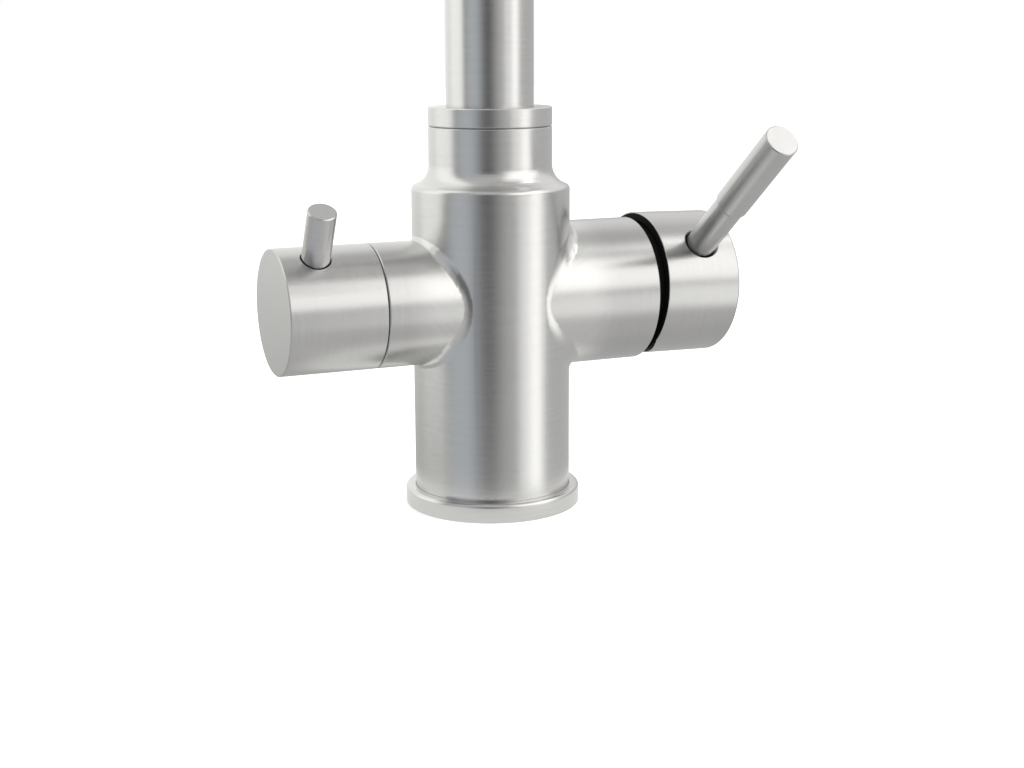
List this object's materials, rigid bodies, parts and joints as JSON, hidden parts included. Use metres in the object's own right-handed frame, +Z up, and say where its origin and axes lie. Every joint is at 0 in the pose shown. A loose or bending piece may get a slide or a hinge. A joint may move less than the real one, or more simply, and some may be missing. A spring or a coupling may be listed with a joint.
{
  "type": "three way filtered water tap",
  "caption": "Deck mounted swan neck kitchen tap with a side mixer lever for hot and cold water and a quarter turn knob for filtered water.",
  "frame": {"origin": "centre of the base ring's underside, in the deck plane, at the mouth of the fixing stud's hole", "axes": "+Z up along the body's axis, -Y towards the user and along the spout at rest, +X towards the mixer handle"},
  "size_m": [0.1506, 0.2418, 0.3637],
  "materials": {
    "brushed_steel": "satin brushed stainless steel",
    "plain_steel": "plain turned stainless steel",
    "brass": "machined",
    "ceramic": null,
    "acetal": "moulded",
    "black_nylon": "moulded",
    "rubber": "matte"
  },
  "bodies": {
    "tap_body": {"base_ring": "brushed_steel", "base_seal": "rubber", "body_shell": "brushed_steel", "inlet_block": "brass", "inlet_seals": "rubber", "inlet_block_screws": "plain_steel", "filter_face_seal": "rubber", "filter_disc_fixed": "ceramic", "filter_cartridge_body": "brass", "filter_cartridge_o_ring": "rubber", "mixer_port_seals": "rubber", "mixer_cartridge_base": "acetal", "mixer_disc_fixed": "ceramic", "mixer_cartridge_housing": "acetal", "mixer_retaining_nut": "brass", "mixer_shroud": "black_nylon", "neck_glide_ring": "black_nylon", "spout_grub_screw": "plain_steel"},
    "spout": {"spout_tube": "brushed_steel", "spout_collar": "brushed_steel", "spout_bush": "brass", "spout_o_rings": "rubber", "filtered_water_tube": "plain_steel", "filtered_tube_tip": "brass", "filtered_tube_o_rings": "rubber", "filtered_tube_spacers": "acetal", "outlet_fitting": "brass", "aerator_gasket": "rubber", "aerator_housing": "brushed_steel", "aerator_insert": "acetal", "aerator_screen": "plain_steel", "filtered_nozzle": "acetal"},
    "filter_handle": {"filter_knob": "brushed_steel", "filter_lever": "brushed_steel", "filter_grub_screw": "plain_steel", "filter_stem": "brass", "filter_stem_seals": "rubber", "filter_stem_clip": "plain_steel", "filter_disc_moving": "ceramic"},
    "temperature_carrier": {"mixer_carrier": "acetal", "mixer_pivot_pin": "plain_steel"},
    "mixing_disc": {"mixer_disc_carrier": "acetal", "mixer_disc_moving": "ceramic"},
    "mixer_handle": {"mixer_cap": "brushed_steel", "mixer_cap_liner": "black_nylon", "mixer_stem": "plain_steel", "mixer_lever_rod": "brushed_steel", "mixer_lever_sleeve": "brushed_steel", "mixer_grub_screw": "plain_steel"}
  },
  "joints": [
    {"name": "spout_swivel", "type": "hinge", "parent": "tap_body", "child": "spout", "pos_m": [0, 0, 0.1212], "axis": [0, 0, 1], "continuous": true},
    {"name": "filter_turn", "type": "hinge", "parent": "tap_body", "child": "filter_handle", "pos_m": [-0.05, 0, 0.067], "axis": [1, 0, 0], "range_deg": [0, 90]},
    {"name": "mixer_temperature", "type": "hinge", "parent": "tap_body", "child": "temperature_carrier", "pos_m": [0.052, 0, 0.0683], "axis": [1, 0, 0], "range_deg": [-50, 50]},
    {"name": "mixer_flow", "type": "hinge", "parent": "temperature_carrier", "child": "mixer_handle", "pos_m": [0.052, 0, 0.0683], "axis": [0, 0.6421, 0.7666], "range_deg": [-6.9, 2.3]},
    {"name": "mixer_disc_slide", "type": "slide", "parent": "temperature_carrier", "child": "mixing_disc", "axis": [0, -0.7666, 0.6421], "range_m": [-0.00245, 0.00085]}
  ],
  "couplings": [
    {"joint": "mixer_disc_slide", "follows": "mixer_flow", "m_per_rad": 0.02}
  ]
}
